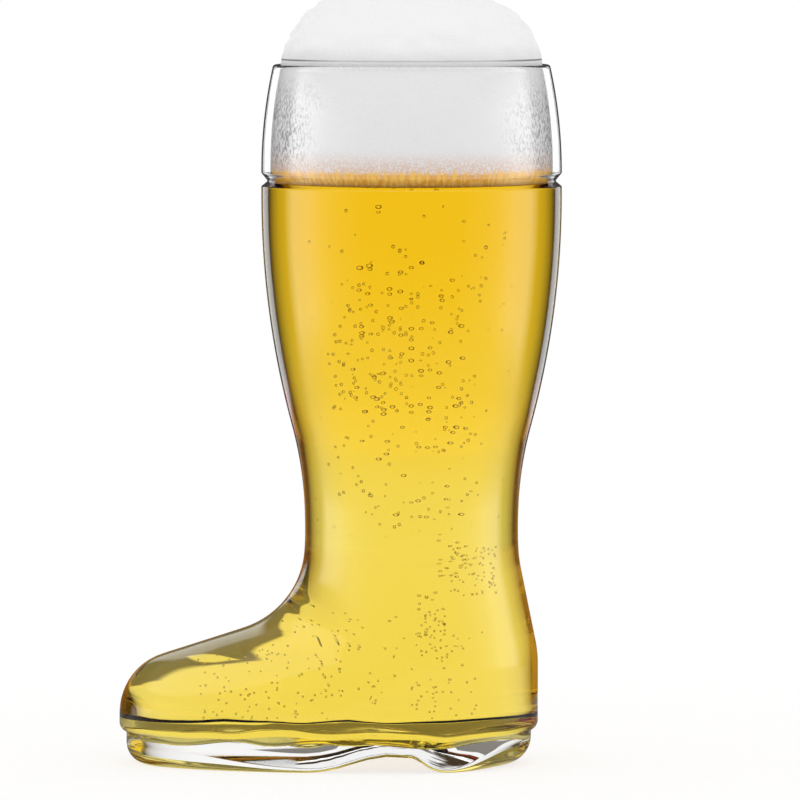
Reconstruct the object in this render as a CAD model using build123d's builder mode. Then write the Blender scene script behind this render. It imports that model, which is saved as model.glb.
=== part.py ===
"""Boot-shaped beer glass, filled: one moulded glass boot, the beer in it and its head of foam.

Millimetres, +Z up. The toe points to -X, the heel to +X, and the boot is the same on both sides of
the XZ plane. The origin lies on the table, under the middle of the outline.
"""

import os
from math import atan, copysign, cos, hypot, pi, sin

from build123d import *

# Shaft and cuff, round about the shaft's axis
rim_height = 233.0
rim_radius = 46.0
cuff_height = 36.0
shaft_radius = 50.0
calf_land = 3.5
ankle_radius = 35.5
ankle_height = 80.0
ankle_curve = 125.0

# Groove under the cuff, and the ridge that it leaves inside
groove_depth = 2.2
groove_upper = 2.7
groove_lower = 1.8
groove_round = 0.5
groove_land = 0.2
ridge_height = 1.1
ridge_round = 3.0

# Foot, measured from the shaft's axis
toe_reach = 97.5
heel_reach = 42.2
foot_half_width = 39.0
instep_height = 51.6
instep_round = 30.0
toe_height = 31.8
toe_round = 20.5
heel_top = 70.0
heel_height = 37.0
heel_round = 40.0
toe_fullness = 0.6
vamp_crown = 0.3
crown_spread = 8

# Sole
welt_height = 10.8
welt_round = 3.0
sole_inset = 2.3
sole_round = 4.5
arch_front = -36.0
arch_peak = -4.0
arch_back = 12.0
arch_rise = 5.6

# Glass thickness
wall = 3.0
lip_wall = 2.4
lip_flat = 0.14
floor_height = 9.0
floor_round = 7.0

# Filling
beer_drop = 1.3
foam_rise = 28.5
filling_gap = 0.05

# Sections that foot and shaft are lofted through
foot_sections = 14
shaft_sections = 10
section_points = 32

# The shaft stands off the origin towards the heel
shaft_x = (toe_reach - shaft_radius) / 2
shaft_axis = Axis((shaft_x, 0, 0), (0, 0, 1))
side_plane = Plane(origin=(shaft_x, 0, 0), x_dir=(1, 0, 0), z_dir=(0, -1, 0))

# The cuff starts as wide as the shaft, above and below the groove
cuff_radius = shaft_radius
cuff_low = rim_height - cuff_height
groove_height = cuff_low - groove_upper
shaft_top = groove_height - groove_lower
calf_height = shaft_top - calf_land
beer_height = groove_height - beer_drop
rim_lean = 2 * atan((cuff_radius - rim_radius) / (cuff_height - groove_round))
lip_round = (lip_wall - lip_flat) * cos(rim_lean) / 2
vamp_slope = (instep_height - toe_height) / (toe_reach - ankle_radius)

# The arcs of ankle and calf meet with one tangent
shaft_turn = 2 * atan((shaft_radius - ankle_radius) / (calf_height - ankle_height))


def half_view(inset, corners, rounds):
    """Half of an upright view of foot and shaft, from the shaft's axis out to the outline."""
    ankle = (ankle_radius - inset, ankle_height)
    calf = (shaft_radius - inset, calf_height)
    top = (shaft_radius - inset, shaft_top)
    curve = ankle_curve + inset
    meet = (ankle[0] + curve * (1 - cos(shaft_turn)), ankle_height + curve * sin(shaft_turn))
    with BuildSketch() as view:
        with BuildLine():
            FilletPolyline(*corners, ankle, radius=rounds)
            ankle_arc = TangentArc(ankle, meet, tangent=(0, 1))
            TangentArc(meet, calf, tangent=ankle_arc % 1)
            Polyline(calf, top, (0, shaft_top), (0, corners[0][1]), corners[0])
        make_face()
    return view.face()


def reach_at(view, height):
    """How far a half view reaches from the axis at one height."""
    level = Edge.make_line((0, height), (2 * toe_reach, height))
    return (view & level).bounding_box().max.X


def outline_points(front, back, half_width):
    """Plan outline of the foot: half an ellipse round the heel, and towards the toe a curve that is
    full at the sole, narrow at the vamp and a circle at the ankle."""
    share = (front - back) / (toe_reach - heel_reach)
    crown = vamp_crown * (1 - (1 - share) ** crown_spread)
    power = 2 - crown + (toe_fullness + vamp_crown) * share**crown_spread
    points = []
    for step in range(section_points):
        angle = 2 * pi * step / section_points
        reach = back if cos(angle) > 0 else front
        bend = 1 if cos(angle) > 0 else 2 / power
        x = copysign(reach * abs(cos(angle)) ** bend, cos(angle))
        y = copysign(half_width * abs(sin(angle)) ** bend, sin(angle))
        points.append((x, y))
    return points


def boot_form(inset, rim_inset, notch, notch_round, bottom, bottom_round):
    """The boot's form from sole to rim, moved in by a wall for the hollow and the filling."""
    drop = inset * (hypot(1, vamp_slope) - vamp_slope)
    ankle = ankle_radius - inset
    toe = toe_reach - inset
    heel = heel_reach - inset
    side = foot_half_width - inset
    toe_view = half_view(
        inset,
        [(toe, bottom), (toe, toe_height - drop), (ankle, instep_height - drop)],
        [toe_round - inset, instep_round + inset],
    )
    heel_view = half_view(
        inset, [(heel, bottom), (heel, heel_height), (ankle, heel_top)], heel_round
    )
    side_view = half_view(
        inset, [(side, bottom), (side, heel_height), (ankle, heel_top)], heel_round
    )

    foot_step = (ankle_height - bottom) / foot_sections
    shaft_step = (shaft_top - ankle_height) / shaft_sections
    heights = [bottom + foot_step * step for step in range(foot_sections)]
    heights += [ankle_height + shaft_step * step for step in range(shaft_sections + 1)]

    with BuildPart() as form:
        for height in heights:
            front = reach_at(toe_view, height)
            back = reach_at(heel_view, height)
            half_width = reach_at(side_view, height)
            with BuildSketch(Plane((shaft_x, 0, height))):
                with BuildLine():
                    Spline(outline_points(front, back, half_width), periodic=True)
                make_face()
        loft()
        fillet(form.faces().sort_by(Axis.Z)[0].edges(), bottom_round)

        cuff = (cuff_radius - inset, cuff_low + notch_round)
        rim = (rim_radius - rim_inset, rim_height)
        with BuildSketch(side_plane):
            with BuildLine():
                FilletPolyline(
                    (0, shaft_top),
                    (shaft_radius - inset - groove_land, shaft_top),
                    (cuff_radius - inset - notch, groove_height),
                    (cuff_radius - inset, cuff_low),
                    cuff,
                    radius=[0, notch_round, notch_round],
                )
                TangentArc(cuff, rim, tangent=(0, 1))
                Polyline(rim, (0, rim_height), (0, shaft_top))
            make_face()
        revolve(axis=shaft_axis)
    return form.part


def hollow_form(gap):
    """The boot's hollow or, with a gap, what fills it, drawn in by the ridge behind the groove."""
    return boot_form(
        wall + gap, lip_wall + gap, ridge_height, ridge_round, floor_height + gap, floor_round
    )


# Solid glass sole with its arch between ball and heel
with BuildPart() as sole:
    with BuildSketch(side_plane):
        with BuildLine():
            Polyline(
                (arch_front, 0),
                (-toe_reach, 0),
                (-toe_reach, welt_height),
                (heel_reach, welt_height),
                (heel_reach, 0),
                (arch_back, 0),
            )
            front_mid = ((arch_front + arch_peak) / 2, arch_rise / 2)
            back_mid = ((arch_peak + arch_back) / 2, arch_rise / 2)
            front_run = TangentArc((arch_front, 0), front_mid, tangent=(1, 0))
            TangentArc(front_mid, (arch_peak, arch_rise), tangent=front_run % 1)
            back_run = TangentArc((arch_peak, arch_rise), back_mid, tangent=(1, 0))
            TangentArc(back_mid, (arch_back, 0), tangent=back_run % 1)
        make_face()
    extrude(amount=foot_half_width, both=True)
    with BuildSketch(Plane((shaft_x, 0, 0))):
        with BuildLine():
            Spline(
                outline_points(
                    toe_reach - sole_inset,
                    heel_reach - sole_inset,
                    foot_half_width - sole_inset,
                ),
                periodic=True,
            )
        make_face()
    extrude(amount=welt_height, mode=Mode.INTERSECT)
    lower = sole.edges().filter_by_position(Axis.Z, -1, (welt_height + arch_rise) / 2)
    fillet(lower.filter_by(GeomType.LINE, reverse=True), sole_round)

# The glass: outside form and sole in one piece, hollowed and rounded at the lip
with BuildPart() as boot_glass:
    add(boot_form(0, 0, groove_depth, groove_round, welt_height, welt_round))
    add(sole.part)
    add(hollow_form(0), mode=Mode.SUBTRACT)
    fillet(boot_glass.faces().sort_by(Axis.Z)[-1].edges(), lip_round)

# The beer fills the hollow up to the groove
filling = hollow_form(filling_gap)
with BuildPart() as beer:
    add(filling)
    split(bisect_by=Plane((0, 0, beer_height)), keep=Keep.BOTTOM)

# The foam fills the cuff and stands as a mound above the rim
mound_radius = rim_radius - lip_wall - filling_gap
with BuildPart() as foam_head:
    add(filling)
    split(bisect_by=Plane((0, 0, beer_height)), keep=Keep.TOP)
    with BuildSketch(side_plane):
        with BuildLine():
            EllipticalCenterArc(
                (0, rim_height), mound_radius, foam_rise, start_angle=0, arc_size=90
            )
            Polyline((0, rim_height + foam_rise), (0, rim_height), (mound_radius, rim_height))
        make_face()
    revolve(axis=shaft_axis)

boot_glass.part.label = "boot_glass"
beer.part.label = "beer"
foam_head.part.label = "foam_head"

os.makedirs("parts", exist_ok=True)
export_step(boot_glass.part, "parts/boot_glass.step")
export_step(beer.part, "parts/beer.step")
export_step(foam_head.part, "parts/foam_head.step")
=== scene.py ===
"""Boot-shaped beer glass, filled: the looks of the glass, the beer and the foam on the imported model.

Metres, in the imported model's frame: +Z up, the toe to -X, the heel to +X, the table at z = 0.
"""

import random
from math import atan, copysign, cos, hypot, pi, sin, sqrt, tan

import bmesh
import bpy
from mathutils import Matrix, Vector, noise


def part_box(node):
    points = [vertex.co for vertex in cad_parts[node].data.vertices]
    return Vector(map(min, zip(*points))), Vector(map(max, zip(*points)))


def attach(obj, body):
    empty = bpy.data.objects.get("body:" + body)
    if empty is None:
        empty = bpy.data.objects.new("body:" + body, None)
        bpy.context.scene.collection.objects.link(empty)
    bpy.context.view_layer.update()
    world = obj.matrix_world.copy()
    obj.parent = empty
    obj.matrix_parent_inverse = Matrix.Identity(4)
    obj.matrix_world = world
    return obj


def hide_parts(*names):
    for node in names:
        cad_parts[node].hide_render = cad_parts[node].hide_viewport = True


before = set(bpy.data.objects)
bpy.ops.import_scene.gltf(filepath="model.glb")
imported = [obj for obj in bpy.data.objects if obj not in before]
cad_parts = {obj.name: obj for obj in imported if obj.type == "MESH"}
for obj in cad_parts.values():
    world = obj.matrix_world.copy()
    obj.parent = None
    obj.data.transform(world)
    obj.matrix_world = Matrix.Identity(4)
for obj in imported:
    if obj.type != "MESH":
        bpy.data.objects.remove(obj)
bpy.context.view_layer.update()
glass_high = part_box("boot_glass")[1]
beer_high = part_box("beer")[1]
foam_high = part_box("foam_head")[1]

mm = 0.001

# Shaft and cuff, round about the shaft's axis, as the solids have them
rim_height = glass_high.z
rim_radius = 46 * mm
cuff_radius = 50 * mm
cuff_height = 36 * mm
shaft_radius = 50 * mm
calf_height = 189 * mm
ankle_radius = 35.5 * mm
ankle_height = 80 * mm
ankle_curve = 125 * mm
groove_depth = 2.2 * mm
groove_upper = 2.7 * mm
groove_lower = 1.8 * mm
groove_round = 0.5 * mm
groove_edges = [0.4 * mm, groove_round, 0.6 * mm]
groove_margin = 2 * mm
ridge_height = 1.1 * mm
ridge_round = 3 * mm
ridge_margin = 3 * mm

# Foot and sole, measured from the shaft's axis
toe_reach = 97.5 * mm
heel_reach = 42.2 * mm
foot_half_width = 39 * mm
instep_height = 51.6 * mm
instep_round = 30 * mm
toe_height = 31.8 * mm
toe_round = 20.5 * mm
heel_top = 70 * mm
heel_height = 37 * mm
heel_round = 40 * mm
toe_fullness = 0.6
vamp_crown = 0.3
crown_spread = 8
welt_height = 10.8 * mm
welt_round = 3 * mm
sole_inset = 2.3 * mm
arch_front = -36 * mm
arch_peak = -4 * mm
arch_back = 12 * mm
arch_rise = 5.6 * mm

# Finer form than the solids have: the sole's lower edge is sharper along the sides and rounder at both
# ends, foot and shaft meet softly, and the welt and the floor of the hollow are uneven
side_edge_round = 1.6 * mm
toe_edge_round = 7.2 * mm
heel_edge_round = 9 * mm
ankle_blend = 24 * mm
ankle_spread = 7 * mm
wave_stretch = 0.6
welt_waves = dict(layer=50 * mm, width=19 * mm, height=1.8 * mm, finer=2.1, ripple=0.5 * mm)
welt_waves_end = 16 * mm
floor_waves = dict(layer=0, width=21 * mm, height=3.4 * mm, finer=1.9, ripple=0.6 * mm)
floor_waves_end = 20 * mm

# Glass thickness
wall = 3 * mm
lip_wall = 2.4 * mm
floor_height = 9 * mm
floor_round = 7 * mm

# Filling: the beer wets the glass, so its skin reaches into the wall, and the foam stands off the wall
wetting = 0.2 * mm
beer_height = beer_high.z
beer_dip = 0.4 * mm
foam_gap = 0.15 * mm
foam_depth = 0.3 * mm
lip_clearance = 2 * mm
mound_height = foam_high.z

# Lumps of the mound, large and small, and its wisps, each with width and height
large_lumps = (18 * mm, 1.6 * mm)
small_lumps = (6 * mm, 1.1 * mm)
wisp_lumps = (3.5 * mm, 1.5 * mm)
lump_sink = 0.8 * mm

# How far glass, beer and gas bend light: the wetted glass does all the bending between glass and beer,
# so the beer's sides hardly bend it
glass_bending = 1.5
beer_bending = 1.34
beer_side_bending = 1.001
gas_bending = 0.746

# Colours: white for glass and gas, then those of the beer and the foam
white = (1, 1, 1, 1)
pale_gold = (0.98, 0.845, 0.27, 1)
gold = (0.98, 0.75, 0.1, 1)
deep_gold = (0.98, 0.69, 0.04, 1)
beer_depth = (0.992, 0.93, 0.45, 1)
foam_white = (0.92, 0.915, 0.925, 1)
foam_shade = (0.83, 0.825, 0.84, 1)
# A dark line of painted shade on the foam, standing for the rim's far edge
painted_rim_line_grey = (0.2, 0.2, 0.21, 1)
# Painted shade: the dark grey of coarse bubbles at the cuff's sides
painted_bubble_shade_grey = (0.26, 0.26, 0.275, 1)
speckle_brown = (0.78, 0.54, 0.4, 1)
dark_amber = (0.84, 0.4, 0.04, 1)
light_amber = (0.96, 0.6, 0.13, 1)

shaft_x = glass_high.x - max(cuff_radius, shaft_radius)
cuff_low = rim_height - cuff_height
groove_height = cuff_low - groove_upper
shaft_top = groove_height - groove_lower
vamp_slope = (instep_height - toe_height) / (toe_reach - ankle_radius)
shaft_turn = 2 * atan((shaft_radius - ankle_radius) / (calf_height - ankle_height))

# Meshes: points round a ring, and rings along each stretch of the boot
ring_points = 144
sole_rings = 14
edge_rings = 10
sole_wall_rings = 3
welt_rings = 7
foot_rings = 52
shaft_rings = 50
groove_rings = 34
cuff_rings = 26
lip_rings = 14
floor_rings = 30
hollow_foot_rings = 48
ridge_rings = 16
foam_rings = 44

# Gas bubbles: their least distance from the wall, how far towards the shaft the point lies that they
# move in to from the foot's wall, and how far those on the far side spread against the near side. Then
# groups of them: number, least and largest radius, heights between, depth under the wall, and how far
# along the boot they reach from the shaft's axis
bubble_seed = 11
bubble_clearance = 0.3 * mm
inward_run = 20 * mm
far_spread = 0.4
bubble_groups = [
    (150, 0.4 * mm, 0.6 * mm, 80 * mm, 166 * mm, 3 * mm, (-28 * mm, 25 * mm)),
    (130, 0.4 * mm, 0.6 * mm, 120 * mm, 162 * mm, 3 * mm, (-27 * mm, 20 * mm)),
    (25, 0.35 * mm, 0.7 * mm, 165 * mm, 190 * mm, 3 * mm, (-34 * mm, 34 * mm)),
    (90, 0.2 * mm, 0.35 * mm, 75 * mm, 180 * mm, 6 * mm, (-34 * mm, 34 * mm)),
    (90, 0.28 * mm, 0.42 * mm, 58 * mm, 74 * mm, 4 * mm, (13 * mm, 29 * mm)),
    (60, 0.28 * mm, 0.42 * mm, 38 * mm, 54 * mm, 4 * mm, (2 * mm, 12 * mm)),
    (110, 0.25 * mm, 0.42 * mm, 18 * mm, 46 * mm, 7 * mm, (-60 * mm, 25 * mm)),
    (120, 0.25 * mm, 0.4 * mm, 17 * mm, 38 * mm, 7 * mm, (-76 * mm, -28 * mm)),
]

# Camera
camera_aim = Vector((19.9 * mm, 0, 121.2 * mm))
camera_place = Vector((19.9 * mm, -2.634, 0.282))
focal_length = 356.3

# Stage: the floor, its own glow and where its tones change, and the card that the glass mirrors
floor_radius = 0.7
floor_grey = 0.25
floor_glow = 0.55
floor_dark = (0.02, 0.012, 0.004, 1)
floor_warmth = (1, 0.65, 0.3, 1)
sole_light_ends = (30 * mm, 37 * mm)
dark_zone_ends = (58 * mm, 62 * mm)
dark_strip_ends = (71 * mm, 75 * mm)
crossing_aside = 25 * mm
card_distance = 0.25
card_height = 0.085
card_brown = (0.42, 0.17, 0.04, 1)
card_white = (0.95, 0.95, 0.95, 1)
card_dark = (0.05, 0.03, 0.015, 1)

# Grey levels round the room, in half turns from behind the boot to behind the camera: what the glass
# lets through, and what it mirrors
room_through = [
    (0, 1),
    (0.11, 1),
    (0.167, 0.9),
    (0.222, 0.66),
    (0.255, 0.4),
    (0.285, 0.04),
    (0.345, 0.04),
    (0.39, 0.8),
    (0.43, 1),
    (1, 1),
]
room_mirrored = [
    (0, 0.04),
    (0.09, 0.04),
    (0.105, 0.7),
    (0.185, 0.7),
    (0.205, 0.02),
    (0.36, 0.02),
    (0.42, 0.9),
    (0.52, 0.9),
    (0.6, 0.4),
    (0.67, 0.2),
    (0.8, 0.04),
    (1, 0.03),
]


def rounded_run(corners, rounds):
    """Reach from the axis as a function of height, along straight runs with rounded corners."""
    points = [Vector(corner) for corner in corners]
    arcs = []
    for before, corner, after, radius in zip(points, points[1:], points[2:], rounds):
        back = (before - corner).normalized()
        onward = (after - corner).normalized()
        half = back.angle(onward) / 2
        run = radius / tan(half)
        centre = corner + (back + onward).normalized() * radius / sin(half)
        arcs.append((corner + back * run, corner + onward * run, centre, radius, corner))

    def reach(height):
        start = points[0]
        for low, high, centre, radius, corner in arcs:
            if height < low.y:
                return start.x + (low.x - start.x) * (height - start.y) / (low.y - start.y)
            if height <= high.y:
                half_chord = sqrt(max(0, radius**2 - (height - centre.y) ** 2))
                return centre.x + copysign(half_chord, corner.x - centre.x)
            start = high
        end = points[-1]
        return start.x + (end.x - start.x) * (height - start.y) / (end.y - start.y)

    return reach


class BootForm:
    """Foot and shaft, moved in by a wall: how far they reach at each height, and their outlines."""

    def __init__(self, inset):
        drop = inset * (hypot(1, vamp_slope) - vamp_slope)
        ankle = ankle_radius - inset
        toe = toe_reach - inset
        heel = heel_reach - inset
        side = foot_half_width - inset
        top = (ankle, ankle_height)
        self.inset = inset
        self.toe = rounded_run(
            [(toe, 0), (toe, toe_height - drop), (ankle, instep_height - drop), top],
            [toe_round - inset, instep_round + inset],
        )
        self.heel = rounded_run(
            [(heel, 0), (heel, heel_height), (ankle, heel_top), top], [heel_round] * 2
        )
        self.side = rounded_run(
            [(side, 0), (side, heel_height), (ankle, heel_top), top], [heel_round] * 2
        )

    def shaft(self, height):
        """Radius of the shaft above the ankle: one arc out of the ankle, one into the calf."""
        ankle_end = ankle_height + ankle_curve * sin(shaft_turn)
        if height < ankle_end:
            curve = ankle_curve + self.inset
            return ankle_radius + ankle_curve - sqrt(curve**2 - (height - ankle_height) ** 2)
        calf_curve = (calf_height - ankle_end) / sin(shaft_turn)
        rest = max(0, calf_height - height)
        return shaft_radius - calf_curve + sqrt((calf_curve - self.inset) ** 2 - rest**2)

    def even(self, run, height):
        """Reach of foot or shaft at one height, evened out where they meet."""
        spread = ankle_spread * max(0, 1 - abs(height - ankle_height) / ankle_blend)
        levels = [height + spread * step / 3 for step in range(-3, 4)]
        reaches = [run(at) if at < ankle_height else self.shaft(at) for at in levels]
        return sum(reaches) / len(reaches)

    def outline(self, height, tuck=0):
        """Points round the boot at one height, drawn in by tuck."""
        if height > ankle_height + ankle_blend:
            return circle(self.shaft(height) - tuck, height)
        front = self.even(self.toe, height) - tuck
        back = self.even(self.heel, height) - tuck
        half_width = self.even(self.side, height) - tuck
        share = (front - back) / (toe_reach - heel_reach)
        crown = vamp_crown * (1 - (1 - share) ** crown_spread)
        power = 2 - crown + (toe_fullness + vamp_crown) * share**crown_spread
        points = []
        for step in range(ring_points):
            angle = 2 * pi * step / ring_points
            reach = back if cos(angle) > 0 else front
            bend = 1 if cos(angle) > 0 else 2 / power
            x = copysign(reach * abs(cos(angle)) ** bend, cos(angle))
            y = copysign(half_width * abs(sin(angle)) ** bend, sin(angle))
            points.append(Vector((shaft_x + x, y, height)))
        return points


def circle(radius, height):
    """Points round the shaft's axis."""
    turns = [2 * pi * step / ring_points for step in range(ring_points)]
    return [Vector((shaft_x + radius * cos(a), radius * sin(a), height)) for a in turns]


def steps(start, end, count):
    """Evenly spaced values, both ends among them."""
    return [start + (end - start) * step / count for step in range(count + 1)]


def bow(start, end, run):
    """Drop of a tangent arc that falls by end - start over run, as a function of the way along it."""
    radius = (run**2 + (start - end) ** 2) / (2 * abs(start - end))
    return lambda way: start + copysign(radius - sqrt(radius**2 - way**2), end - start)


def sole_level(x):
    """Height of the sole's underside: flat under ball and heel, an arch of four arcs between them."""
    way = x - shaft_x
    if way <= arch_front or way >= arch_back:
        return 0
    half_run = (arch_peak - arch_front) / 2 if way < arch_peak else (arch_back - arch_peak) / 2
    radius = (half_run**2 + (arch_rise / 2) ** 2) / arch_rise
    from_foot = way - arch_front if way < arch_peak else arch_back - way
    from_peak = abs(way - arch_peak)
    if from_foot < half_run:
        return radius - sqrt(radius**2 - from_foot**2)
    return arch_rise - radius + sqrt(radius**2 - from_peak**2)


def towards_middle(outline, share):
    """An outline shrunk towards its own middle, for the flat of a floor or a sole."""
    middle = sum(outline, Vector()) / len(outline)
    return [middle.lerp(point, share) for point in outline]


def grow(name, rings, wet_from=None):
    """A closed mesh: a circle is extruded from each outline to the next, and both ends are capped.

    From ring wet_from on, the faces take the piece's second material.
    """
    bm = bmesh.new()
    place = bm.verts.layers.int.new("place")
    first = bmesh.ops.create_circle(bm, cap_ends=True, radius=1, segments=ring_points)["verts"]
    for step, vert in enumerate(first):
        vert[place] = step
        vert.co = rings[0][step]
    edges = bm.edges[:]
    for number, outline in enumerate(rings[1:], 1):
        made = bmesh.ops.extrude_edge_only(bm, edges=edges)["geom"]
        if wet_from is not None and number > wet_from:
            for face in made:
                if isinstance(face, bmesh.types.BMFace):
                    face.material_index = 1
        verts = {item for item in made if isinstance(item, bmesh.types.BMVert)}
        for vert in verts:
            vert.co = outline[vert[place]]
        edges = [
            item
            for item in made
            if isinstance(item, bmesh.types.BMEdge) and set(item.verts) <= verts
        ]
    cap = bmesh.ops.contextual_create(bm, geom=edges)["faces"]
    for face in cap:
        face.material_index = 0 if wet_from is None else 1
    bmesh.ops.recalc_face_normals(bm, faces=bm.faces)
    bm.verts.layers.int.remove(place)
    return piece(name, bm)


def add_object(name, bm):
    """An object in the scene from its bmesh."""
    mesh = bpy.data.meshes.new(name)
    bm.to_mesh(mesh)
    bm.free()
    made = bpy.data.objects.new(name, mesh)
    bpy.context.scene.collection.objects.link(made)
    return made


def piece(name, bm):
    """A finished piece from its bmesh, smooth all over, that rides with the boot."""
    for face in bm.faces:
        face.smooth = True
    made = add_object(name, bm)
    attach(made, "root")
    return made


def outer_rings():
    """The outside of the glass, from the middle of the sole up to the lip."""
    form = BootForm(0)
    flat = sole_edge(form, 0)
    rings = []
    for share in steps(0.04, 1, sole_rings):
        rings.append([on_sole(point, 0) for point in towards_middle(flat, share)])
    for turn in steps(0, pi / 2, edge_rings)[1:]:
        rings.append(sole_edge(form, turn))
    low_edge = rings[-1]
    for share in steps(0, 1, sole_wall_rings)[1:]:
        ring = [point.lerp(Vector((*point.xy, welt_height)), share) for point in low_edge]
        rings.append([waver(point, share) for point in ring])
    # The welt's rounding starts where it meets the sole's wall, a little short of a quarter turn
    turn_at_sole = pi / 2 - 0.23
    for turn in steps(turn_at_sole, 0, welt_rings):
        tuck = welt_round * (1 - cos(turn))
        ring = form.outline(welt_height + welt_round * (1 - sin(turn)), tuck)
        rings.append([waver(point, 1) for point in ring])
    for height in steps(welt_height + welt_round, ankle_height, foot_rings)[1:]:
        share = 1 - ease((height - welt_height - welt_round) / welt_waves_end)
        rings.append([waver(point, share) for point in form.outline(height)])
    for height in steps(ankle_height, shaft_top - groove_margin, shaft_rings)[1:]:
        rings.append(form.outline(height))
    groove = rounded_run(
        [
            (shaft_radius, shaft_top - groove_margin),
            (shaft_radius, shaft_top),
            (shaft_radius - groove_depth, groove_height),
            (cuff_radius, cuff_low),
            (cuff_radius, cuff_low + groove_margin),
        ],
        groove_edges,
    )
    for height in steps(shaft_top - groove_margin, cuff_low + groove_margin, groove_rings)[1:]:
        rings.append(circle(groove(height), height))
    cuff = bow(cuff_radius, rim_radius, rim_height - cuff_low - groove_round)
    return rings, lambda height: cuff(max(0, height - cuff_low - groove_round))


def on_sole(point, rise):
    """A point laid on the sole's underside and lifted by rise."""
    return Vector((*point.xy, sole_level(point.x) + rise))


def ease(value):
    """0 to 1 with soft ends."""
    value = min(1, max(0, value))
    return value * value * (3 - 2 * value)


def edge_round(facing):
    """Rounding of the sole's lower edge: small along the sides, more facing toe or heel.

    Facing goes from -1, straight to the toe, to 1, straight to the heel.
    """
    sharp_until = 0.3
    round_from = 0.9
    toe_share = ease((-facing - sharp_until) / (round_from - sharp_until))
    heel_share = ease((facing - sharp_until) / (round_from - sharp_until))
    return (
        side_edge_round
        + (toe_edge_round - side_edge_round) * toe_share
        + (heel_edge_round - side_edge_round) * heel_share
    )


def sole_edge(form, turn):
    """The sole's outline part of the way round its lower edge, from the flat to upright."""
    outside = form.outline(welt_height, sole_inset)
    inside = form.outline(welt_height, sole_inset + heel_edge_round)
    ring = []
    for outer, inner in zip(outside, inside):
        radius = edge_round((outer - inner).normalized().x)
        point = outer.lerp(inner, radius * (1 - sin(turn)) / heel_edge_round)
        ring.append(on_sole(point, radius * (1 - cos(turn))))
    return ring


def inner_rings(inset, bottom, bottom_round, top):
    """The hollow's rings from the middle of its floor up to a height in the cuff."""
    form = BootForm(inset)
    flat = form.outline(bottom, bottom_round)
    rings = [towards_middle(flat, share) for share in steps(0.03, 1, floor_rings)]
    for turn in steps(0, pi / 2, edge_rings)[1:]:
        tuck = bottom_round * (1 - sin(turn))
        rings.append(form.outline(bottom + bottom_round * (1 - cos(turn)), tuck))
    for height in steps(bottom + bottom_round, ankle_height, hollow_foot_rings)[1:]:
        rings.append(form.outline(height))
    rings = [[settle(point, bottom) for point in ring] for ring in rings]
    for height in steps(ankle_height, shaft_top - ridge_margin, shaft_rings)[1:]:
        rings.append(form.outline(height))
    ridge = rounded_run(
        [
            (shaft_radius - inset, shaft_top - ridge_margin),
            (shaft_radius - inset, shaft_top),
            (shaft_radius - inset - ridge_height, groove_height),
            (cuff_radius - inset, cuff_low),
            (cuff_radius - inset, cuff_low + ridge_round),
        ],
        [ridge_round] * 3,
    )
    cuff = bow(cuff_radius - inset, rim_radius - lip_wall, rim_height - cuff_low - ridge_round)

    def reach(height):
        if height < cuff_low + ridge_round:
            return ridge(height)
        return cuff(height - cuff_low - ridge_round)

    ridge_end = min(top, cuff_low + ridge_round)
    for height in steps(shaft_top - ridge_margin, ridge_end, ridge_rings)[1:]:
        rings.append(circle(reach(height), height))
    return rings, reach


def lifted(point, share, layer, width, height, finer, ripple):
    """A point lifted by soft waves with a finer ripple on them, longer across the foot than along it."""
    spot = Vector((point.x, point.y * wave_stretch, layer)) / width
    lift = noise.noise(spot) * height + noise.noise(spot * finer) * ripple
    return point + Vector((0, 0, lift * share))


def settle(point, bottom):
    """A point of the hollow, its floor and the corner round it uneven as thick glass is in the mould."""
    share = 1 - ease((point.z - bottom) / floor_waves_end)
    return lifted(point, share, **floor_waves)


def waver(point, share):
    """A point of the outside near the welt, which the mould leaves slightly uneven."""
    return lifted(point, share, **welt_waves)


def make_glass():
    """The glass boot in one closed mesh: outside, lip and hollow."""
    rings, outside = outer_rings()
    hollow, inside = inner_rings(wall, floor_height, floor_round, rim_height)
    half_lip = lip_wall / 2
    lip_base = rim_height - half_lip
    for height in steps(cuff_low + groove_margin, lip_base, cuff_rings)[1:]:
        rings.append(circle(outside(height), height))
    middle = (outside(lip_base) + inside(lip_base)) / 2
    half = (outside(lip_base) - inside(lip_base)) / 2
    for turn in steps(0, pi, lip_rings)[1:-1]:
        rings.append(circle(middle + half * cos(turn), lip_base + half_lip * sin(turn)))
    for height in steps(lip_base, cuff_low + ridge_round, cuff_rings)[:-1]:
        rings.append(circle(inside(height), height))
    dry = len(rings) + sum(ring[0].z > beer_height for ring in hollow)
    glass = grow("glass_boot", rings + hollow[::-1], wet_from=dry)
    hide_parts("boot_glass")
    return glass


def make_beer():
    """The beer, its top slightly lower in the middle than at the glass."""
    rings, reach = inner_rings(wall - wetting, floor_height - wetting, floor_round, beer_height)
    rim = reach(beer_height)
    side = len(rings) - 1
    dip_run = 0.1
    for share in (0.97, 0.9, 0.7, 0.4, 0.1):
        dip = beer_dip * min(1, (1 - share) / dip_run)
        rings.append(circle(rim * share, beer_height - dip))
    beer = grow("beer_filling", rings, wet_from=side)
    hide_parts("beer")
    return beer


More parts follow.
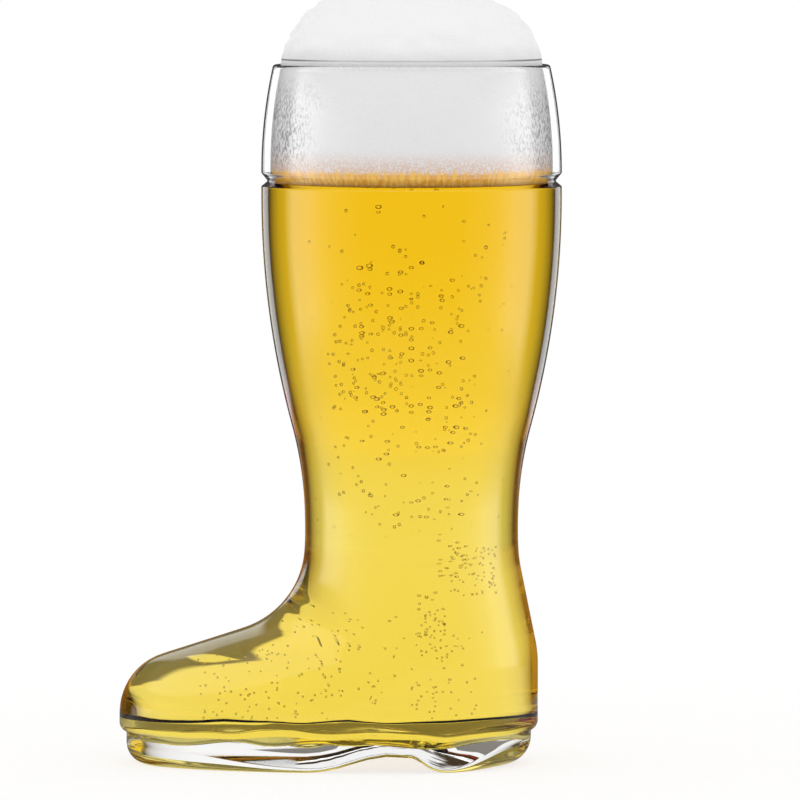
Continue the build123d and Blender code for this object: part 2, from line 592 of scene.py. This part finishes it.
def make_bubbles():
    """Gas bubbles just inside the wall, where they cling and rise."""
    chance = random.Random(bubble_seed)
    inside = BootForm(wall)
    all_bubbles = bmesh.new()
    bubble_mesh = bpy.data.meshes.new("bubble")
    for count, least, largest, low, high, depth, (toe_side, heel_side) in bubble_groups:
        made = 0
        while made < count:
            height = chance.uniform(low, high)
            at_wall = chance.choice(inside.outline(height))
            radius = chance.uniform(least, largest)
            spread = far_spread if at_wall.y > 0 else 1
            if not toe_side * spread < at_wall.x - shaft_x < heel_side * spread:
                continue
            middle = Vector((min(shaft_x, at_wall.x + inward_run), 0, height))
            inward = (middle - at_wall).normalized()
            place = at_wall + inward * (radius + bubble_clearance + chance.uniform(0, depth))
            bm = bmesh.new()
            bmesh.ops.create_uvsphere(
                bm, u_segments=8, v_segments=6, radius=radius, matrix=Matrix.Translation(place)
            )
            bm.to_mesh(bubble_mesh)
            bm.free()
            all_bubbles.from_mesh(bubble_mesh)
            made += 1
    bpy.data.meshes.remove(bubble_mesh)
    bubbles = piece("gas_bubbles", all_bubbles)
    return bubbles


def make_foam():
    """The head: foam against the cuff's inside and a soft uneven mound over the rim."""
    _, reach = inner_rings(wall + foam_gap, floor_height, floor_round, rim_height)
    base = beer_height - foam_depth
    lip = rim_height - lip_clearance
    rings = [circle(reach(base) * share, base) for share in (0.05, 0.35, 0.65, 0.9)]
    for height in steps(base, lip, foam_rings):
        rings.append(circle(reach(height), height))
    mound = rim_radius - lip_wall - foam_gap
    rise = mound_height - rim_height
    smooth_turn = 0.25
    for turn in steps(0, pi / 2, foam_rings)[:-1]:
        ring = circle(mound * cos(turn), rim_height + rise * sin(turn))
        rings.append([swell(point, min(1, turn / smooth_turn)) for point in ring])
    foam = grow("foam_mound", rings)
    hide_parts("foam_head")
    return foam


def lump(point, size, lift=0):
    """How far a lump of some width and height stands out at a point."""
    width, height = size
    return (noise.noise(point / width) + lift) * height


def swell(point, share):
    """A point of the mound, moved by large and small lumps, with ragged wisps low on the toe side."""
    out = (point - Vector((shaft_x, 0, rim_height))).normalized()
    lumps = lump(point, large_lumps) + lump(point, small_lumps)
    toe_side = ease((-out.x - 0.6) / 0.25) * (1 - ease((out.z - 0.5) / 0.3))
    wisps = lump(point, wisp_lumps, lift=0.3) * toe_side
    return point + out * (lumps + wisps - lump_sink) * share


class Shade:
    """A node's output. Python's operators add Math nodes, and node() adds any other kind."""

    def __init__(self, tree, socket=None):
        self.tree = tree
        self.socket = socket

    def node(self, kind, settings=None, inputs=None, output=0):
        made = self.tree.nodes.new(kind)
        for name, value in (settings or {}).items():
            if name == "stops":
                fill_ramp(made.color_ramp, value)
            else:
                setattr(made, name, value)
        for name, value in (inputs or {}).items():
            if isinstance(value, Shade):
                self.tree.links.new(value.socket, made.inputs[name])
            else:
                made.inputs[name].default_value = value
        return Shade(self.tree, made.outputs[output] if len(made.outputs) else None)

    def output(self, name):
        return Shade(self.tree, self.socket.node.outputs[name])

    def math(self, operation, *values):
        settings = {"operation": operation}
        return self.node("ShaderNodeMath", settings, dict(enumerate(values)))

    def __add__(self, other):
        return self.math("ADD", self, other)

    def __radd__(self, other):
        return self.math("ADD", other, self)

    def __sub__(self, other):
        return self.math("SUBTRACT", self, other)

    def __rsub__(self, other):
        return self.math("SUBTRACT", other, self)

    def __mul__(self, other):
        return self.math("MULTIPLY", self, other)

    def __rmul__(self, other):
        return self.math("MULTIPLY", other, self)

    def __truediv__(self, other):
        return self.math("DIVIDE", self, other)

    def __rtruediv__(self, other):
        return self.math("DIVIDE", other, self)

    def into(self, output, name="Surface"):
        """Links this to an output node."""
        self.tree.links.new(self.socket, output.inputs[name])

    def rise(self, low, high):
        """0 below low, 1 above high, smooth between them."""
        settings = {"interpolation_type": "SMOOTHSTEP"}
        values = {"Value": self, "From Min": low, "From Max": high}
        return self.node("ShaderNodeMapRange", settings, values)

    def blend(self, first, second):
        """A colour that goes from first to second as this value goes from 0 to 1."""
        settings = {"data_type": "RGBA"}
        return self.node("ShaderNodeMix", settings, {0: self, 6: first, 7: second}, 2)


def fill_ramp(ramp, stops):
    """Sets a ramp's stops, each a place and a grey level."""
    while len(ramp.elements) < len(stops):
        ramp.elements.new(1)
    for element, (place, level) in zip(ramp.elements, stops):
        element.position = place
        element.color = (level, level, level, 1)


def new_material(name):
    """An empty node material, its shader tools and its output node."""
    material = bpy.data.materials.new(name)
    material.use_nodes = True
    tree = material.node_tree
    tree.nodes.clear()
    output = tree.nodes.new("ShaderNodeOutputMaterial")
    return material, Shade(tree), output


def paint(made, *materials):
    """Gives a piece its materials, the first for its main faces."""
    for material in materials:
        made.data.materials.append(material)


def see_through(shade, colour, bending, **more):
    """The surface of glass, beer or gas: smooth and clear, tinted by a colour."""
    inputs = {"Base Color": colour, "Roughness": 0, "IOR": bending, "Transmission Weight": 1}
    return shade.node("ShaderNodeBsdfPrincipled", None, {**inputs, **more})


def clear_glass(name, bending):
    """Moulded glass: clear, with the slight waves of the mould. Where beer wets it, it bends less."""
    material, shade, output = new_material(name)
    place = shade.node("ShaderNodeTexCoord", output="Object")
    waves = shade.node("ShaderNodeTexNoise", None, {"Vector": place, "Scale": 45, "Detail": 1})
    bump = shade.node("ShaderNodeBump", None, {"Height": waves, "Strength": 0.02, "Distance": 0.002})
    see_through(shade, white, bending, Normal=bump).into(output)
    return material


def pale_beer(name, bending):
    """Clear lager: pale in the foot, and deeper gold up the shaft."""
    material, shade, output = new_material(name)
    place = shade.node("ShaderNodeTexCoord", output="Object")
    height = shade.node("ShaderNodeSeparateXYZ", None, {0: place}, "Z")
    middle = height.rise(70 * mm, 130 * mm).blend(pale_gold, gold)
    tint = height.rise(110 * mm, 185 * mm).blend(middle, deep_gold)
    depth = shade.node("ShaderNodeVolumeAbsorption", None, {"Color": beer_depth, "Density": 30})
    see_through(shade, tint, bending).into(output)
    depth.into(output, "Volume")
    return material


def beer_gas():
    """Gas in the beer: a bubble bends light the other way."""
    material, shade, output = new_material("beer_gas")
    see_through(shade, white, gas_bending).into(output)
    return material


def beer_foam():
    """Fine foam: off-white, coarse bubbles in painted shade at the sides, speckled and then amber down
    to the beer.
    """
    material, shade, output = new_material("beer_foam")
    place = shade.node("ShaderNodeTexCoord", output="Object")
    across = shade.node("ShaderNodeSeparateXYZ", None, {0: place}, "X")
    height = across.output("Z")
    off_axis = across.math("ABSOLUTE", across - shaft_x)

    # Shade at the foot of the mound, and a thin dark line of painted shade there that stands for the
    # rim's far edge
    shaded = height.rise(rim_height - mm, rim_height + 0.5 * mm)
    shaded = shaded * (1 - height.rise(rim_height + 2 * mm, rim_height + 8 * mm))
    pale = shaded.blend(foam_white, foam_shade)
    foot = height.rise(rim_height + 1.3 * mm, rim_height + 1.6 * mm)
    foot = foot * (1 - height.rise(rim_height + 1.8 * mm, rim_height + 2.1 * mm))
    foot = foot * (0.35 + 0.65 * off_axis.rise(0.45 * cuff_radius, 0.8 * cuff_radius))
    lined = foot.blend(pale, painted_rim_line_grey)

    # Coarse bubbles in leaning strokes at the sides of the cuff, their dark grey a painted shade
    leaning = shade.node(
        "ShaderNodeMapping", None, {"Vector": place, "Rotation": (0, 0.7, 0), "Scale": (1, 1, 0.45)}
    )
    strokes = shade.node("ShaderNodeTexNoise", None, {"Vector": leaning, "Scale": 1500, "Detail": 2})
    drift = shade.node("ShaderNodeTexNoise", None, {"Vector": place, "Scale": 90, "Detail": 1})
    sides = (off_axis + (drift - 0.5) * (14 * mm)).rise(0.5 * cuff_radius, 0.95 * cuff_radius)
    cuff = height.rise(beer_height, beer_height + 5 * mm)
    cuff = cuff * (1 - height.rise(cuff_low + 18 * mm, rim_height))
    coarse = strokes.rise(0.46, 0.6) * sides * cuff
    bubbles_and_painted_shade = coarse.blend(lined, painted_bubble_shade_grey)

    # Beer between the bubbles low in the cuff
    cells = shade.node("ShaderNodeTexVoronoi", None, {"Vector": place, "Scale": 1500})
    low = 1 - height.rise(beer_height + 4 * mm, beer_height + 14 * mm)
    gaps = cells.rise(0.2, 0.6) * low * 0.85
    speckled = gaps.blend(bubbles_and_painted_shade, speckle_brown)

    # Amber streaks where the beer wets the foam
    tall = shade.node("ShaderNodeMapping", None, {"Vector": place, "Scale": (1, 1, 0.12)})
    streaks = shade.node("ShaderNodeTexNoise", None, {"Vector": tall, "Scale": 900, "Detail": 2})
    line = beer_height + 5.2 * mm + (streaks - 0.5) * (4 * mm)
    wet = 1 - (height - line).rise(-1.2 * mm, 1 * mm)
    amber = streaks.rise(0.38, 0.62).blend(dark_amber, light_amber)
    colour = wet.blend(speckled, amber)

    bump = shade.node("ShaderNodeBump", None, {"Height": cells, "Strength": 0.3, "Distance": 0.0005})
    surface = shade.node(
        "ShaderNodeBsdfPrincipled",
        None,
        {"Base Color": colour, "Roughness": 0.7, "Specular IOR Level": 0.2, "Normal": bump},
    )
    surface.into(output)
    return material


def set_stage():
    """A pale round floor that ends softly in a white room, and a low card that the glass mirrors."""
    floor = bmesh.new()
    bmesh.ops.create_circle(floor, cap_ends=True, radius=floor_radius, segments=96)
    paint(stand("floor", floor), pale_floor())
    card = bmesh.new()
    bmesh.ops.create_cone(
        card,
        segments=96,
        radius1=card_distance,
        radius2=card_distance,
        depth=card_height,
        matrix=Matrix.Translation((0, 0, card_height / 2 + mm)),
    )
    paint(stand("warm_card", card), mirrored_card())
    bpy.context.scene.world = white_room()


def stand(name, bm):
    """A piece of the stage from its bmesh."""
    made = add_object(name, bm)
    return made


def mirrored_card():
    """A card that shows only behind the boot, and only where the glass mirrors it.

    It is brown for what the outside mirrors. For rays mirrored inside the glass it is white near the
    floor, which the sole shows, and dark above.
    """
    material, shade, output = new_material("mirrored_card")
    place = shade.node("ShaderNodeTexCoord", output="Object")
    across = shade.node("ShaderNodeSeparateXYZ", None, {0: place}, "Y")
    _, _, mirrored, inside = light_ways(shade)
    behind = across.rise(0.3 * card_distance, 0.6 * card_distance)
    height = across.output("Z")
    below = 1 - height.rise(0.75 * card_height, card_height)
    upwards = height.rise(32 * mm, 40 * mm).blend(card_white, card_dark)
    colour = inside.blend(card_brown, upwards)
    shown = shade.node("ShaderNodeEmission", None, {"Color": colour, "Strength": 1})
    clear = shade.node("ShaderNodeBsdfTransparent")
    share = mirrored * behind * below
    shade.node("ShaderNodeMixShader", None, {0: share, 1: clear, 2: shown}).into(output)
    return material


def light_ways(shade):
    """Which rays reach the stage: seen straight, through glass, mirrored, and any that were in glass."""
    path = shade.node("ShaderNodeLightPath")
    first = path.math("LESS_THAN", path.output("Diffuse Depth"), 0.5)
    mirrored = path.math("GREATER_THAN", path.output("Glossy Depth"), 0.5) * first
    through = path.output("Is Transmission Ray") * (first - mirrored)
    inside = path.math("GREATER_THAN", path.output("Transmission Depth"), 0.5)
    return path.output("Is Camera Ray"), through, mirrored, inside


def room_tones(place, aside=0):
    """Grey levels of the room in one direction, let through and mirrored, and the direction's parts.

    Close to the boot, the rays from its edges cross: directions there count from a point aside. The
    ramps' colours become plain values by the factors in the last line.
    """
    across = place.node("ShaderNodeSeparateXYZ", None, {0: place}, "X")
    angle = across.math("ARCTAN2", across.math("ABSOLUTE", across) + aside, across.output("Y")) / pi
    behind = place.node("ShaderNodeValToRGB", {"stops": room_through}, {"Fac": angle})
    strips = place.node("ShaderNodeValToRGB", {"stops": room_mirrored}, {"Fac": angle})
    return behind * 1, strips * 2, across


def pale_floor():
    """White to the eye, and dark close to the boot for rays that the glass lets through or mirrors.

    Through the glass, a strip behind the boot is dark too, narrow at the toe and wider towards the heel.
    The top of the foot shows it as a dark band. The floor in front is light there. Under the middle of
    the sole the floor is light for both.
    """
    material, shade, output = new_material("pale_floor")
    place = shade.node("ShaderNodeTexCoord", output="Object")
    away = shade.node("ShaderNodeVectorMath", {"operation": "LENGTH"}, {0: place}, "Value")
    narrow = shade.node("ShaderNodeMapping", None, {"Vector": place, "Scale": (0.55, 1, 1)})
    near = shade.node("ShaderNodeVectorMath", {"operation": "LENGTH"}, {0: narrow}, "Value")
    behind, strips, across = room_tones(place, crossing_aside)
    straight, through, mirrored, _ = light_ways(shade)
    back = across.output("Y")
    reach = near - 0.07 * across.math("MAXIMUM", across + 0.06, 0)
    under_boot = 1 - near.rise(*sole_light_ends)
    slant = across.math("MAXIMUM", 0.25 * across, 0.6 * across)
    slant = across.math("MINIMUM", slant, 0.9 * across + 0.02)
    beside = 1 - (back - slant).rise(*dark_strip_ends)
    beyond = reach.rise(*dark_zone_ends) * (1 - beside * through)
    open_floor = across.math("MAXIMUM", beyond, under_boot * 0.9)
    front = 1 - back.rise(-0.08, 0.02)
    seen_open = across.math("MAXIMUM", open_floor, front)
    card = through * away.rise(0.1, 0.16) * (1 - behind)
    glow = floor_glow + straight * (1 - floor_glow)
    glow = glow + through * (seen_open - floor_glow) - seen_open * card
    glow = glow + mirrored * (open_floor * strips * (0.3 - 0.1 * front) - floor_glow)
    grey = card.blend((floor_grey,) * 3 + (1,), floor_dark)
    matt = shade.node("ShaderNodeBsdfDiffuse", None, {"Color": grey})
    warmth = card.blend(white, floor_warmth)
    light = shade.node(
        "ShaderNodeEmission", None, {"Color": warmth, "Strength": glow * (1 - floor_grey)}
    )
    both = shade.node("ShaderNodeAddShader", None, {0: matt, 1: light})
    clear = shade.node("ShaderNodeBsdfTransparent")
    ends = away.rise(0.5 * floor_radius, 0.98 * floor_radius)
    shade.node("ShaderNodeMixShader", None, {0: ends, 1: both, 2: clear}).into(output)
    return material


def white_room():
    """White all round. Level with the boot, the glass shows dark cards and mirrors light strips.

    Higher up it mirrors a window behind the boot and a lamp overhead. Levels are sines of the angle
    above the floor.
    """
    world = bpy.data.worlds.new("white_room")
    world.use_nodes = True
    tree = world.node_tree
    tree.nodes.clear()
    shade = Shade(tree)
    way = shade.node("ShaderNodeTexCoord", output="Generated")
    behind, strips, across = room_tones(way)
    level = across.output("Z")
    _, through, mirrored, _ = light_ways(shade)
    band = level.rise(-0.2, -0.13) * (1 - level.rise(0.24, 0.34))
    high = level.rise(0.17, 0.24)
    rear = across.output("Y").rise(0.25, 0.45)
    lamp = level.rise(0.55, 0.65) * (1 - 0.75 * rear)
    under_lamp = high * 0.15 + (1 - high) * strips
    beyond = rear * (1 - across.math("ABSOLUTE", across).rise(0.25, 0.35))
    window = beyond * level.rise(0.27, 0.33) * (1 - level.rise(0.58, 0.66))
    mirror = lamp + (1 - lamp) * under_lamp + 1.1 * window
    strength = 1 + through * band * (behind - 1) + mirrored * (mirror - 1)
    output = tree.nodes.new("ShaderNodeOutputWorld")
    shade.node("ShaderNodeBackground", None, {"Color": white, "Strength": strength}).into(output)
    return world


def set_camera():
    """A long lens just above the height of the foam, looking slightly down."""
    scene = bpy.context.scene
    lens = bpy.data.cameras.new("camera")
    lens.sensor_width = 36
    lens.lens = focal_length
    lens.clip_end = 100
    camera = bpy.data.objects.new("camera", lens)
    camera.location = camera_place
    camera.rotation_euler = (camera_aim - camera_place).to_track_quat("-Z", "Y").to_euler()
    scene.collection.objects.link(camera)
    scene.camera = camera
    scene.view_settings.view_transform = "Standard"
    scene.cycles.max_bounces = 32
    scene.cycles.transmission_bounces = 32
    scene.cycles.blur_glossy = 0


dry_glass = clear_glass("clear_moulded_glass", glass_bending)
wet_glass = clear_glass("wetted_glass", glass_bending / beer_bending)
paint(make_glass(), dry_glass, wet_glass)
beer_side = pale_beer("lager_at_the_glass", beer_side_bending)
beer_top = pale_beer("lager_under_foam", beer_bending)
paint(make_beer(), beer_side, beer_top)
paint(make_bubbles(), beer_gas())
paint(make_foam(), beer_foam())
set_stage()
set_camera()
